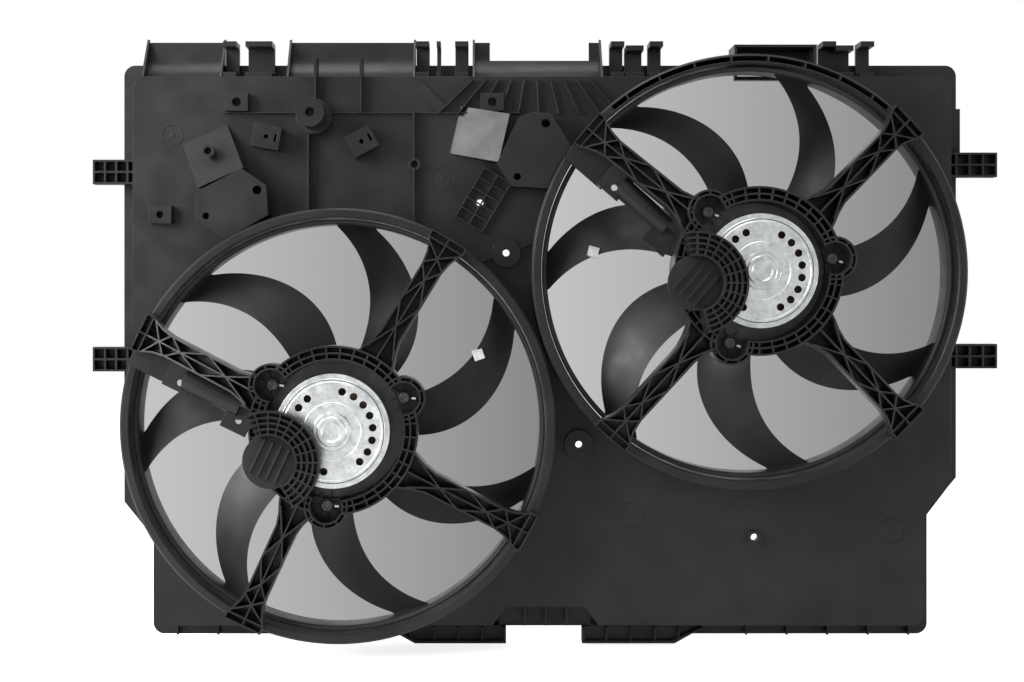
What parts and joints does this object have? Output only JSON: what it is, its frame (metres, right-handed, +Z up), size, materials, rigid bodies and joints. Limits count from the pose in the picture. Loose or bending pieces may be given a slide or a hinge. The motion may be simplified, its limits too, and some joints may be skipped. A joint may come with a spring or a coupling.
{
  "type": "radiator fan shroud",
  "caption": "Moulded shroud that seats on a radiator and carries electric fans on ribbed motor spiders to draw air through it.",
  "frame": {"origin": "centre of the plane of the rim that seats on the radiator", "axes": "+X to the right seen from the engine side, +Z up, +Y towards the radiator"},
  "size_m": [0.888, 0.146, 0.5965],
  "materials": {
    "shroud_plastic": "moulded, faint grain, satin",
    "fan_plastic": "moulded, smooth satin",
    "galvanised_steel": "zinc plated, drawn",
    "black_steel": "black paint, satin",
    "screw_steel": "black zinc plated",
    "ferrite": "sintered ferrite",
    "card_plastic": "phenolic",
    "carbon": "pressed carbon",
    "bearing_steel": "ground",
    "connector_plastic": "moulded",
    "clip_steel": "plated spring steel",
    "core_steel": "stacked laminations",
    "copper": "enamelled copper"
  },
  "bodies": {
    "shroud": {"shroud_panel": "shroud_plastic", "motor_spider_left": "shroud_plastic", "motor_spider_right": "shroud_plastic", "shroud_ring_left": "shroud_plastic", "shroud_ring_right": "shroud_plastic", "motor_can_left": "galvanised_steel", "motor_can_right": "galvanised_steel", "motor_cover_left": "galvanised_steel", "motor_cover_right": "galvanised_steel", "motor_plate_left": "black_steel", "motor_plate_right": "black_steel", "motor_screws_left": "screw_steel", "motor_screws_right": "screw_steel", "motor_magnets_left": "ferrite", "motor_magnets_right": "ferrite", "brush_card_left": "card_plastic", "brush_card_right": "card_plastic", "motor_brushes_left": "carbon", "motor_brushes_right": "carbon", "motor_bearings_left": "bearing_steel", "motor_bearings_right": "bearing_steel", "motor_connector_left": "connector_plastic", "motor_connector_right": "connector_plastic"},
    "rotor_left": {"fan_left": "fan_plastic", "balance_clip_left": "clip_steel", "motor_shaft_left": "bearing_steel", "fan_nut_left": "screw_steel", "armature_core_left": "core_steel", "armature_windings_left": "copper", "commutator_left": "copper"},
    "rotor_right": {"fan_right": "fan_plastic", "balance_clip_right": "clip_steel", "motor_shaft_right": "bearing_steel", "fan_nut_right": "screw_steel", "armature_core_right": "core_steel", "armature_windings_right": "copper", "commutator_right": "copper"}
  },
  "joints": [
    {"name": "fan_left_spin", "type": "hinge", "parent": "shroud", "child": "rotor_left", "pos_m": [-0.193, -0.06, -0.068], "axis": [0, -1, 0], "continuous": true},
    {"name": "fan_right_spin", "type": "hinge", "parent": "shroud", "child": "rotor_right", "pos_m": [0.193, -0.06, 0.0765], "axis": [0, -1, 0], "continuous": true}
  ]
}
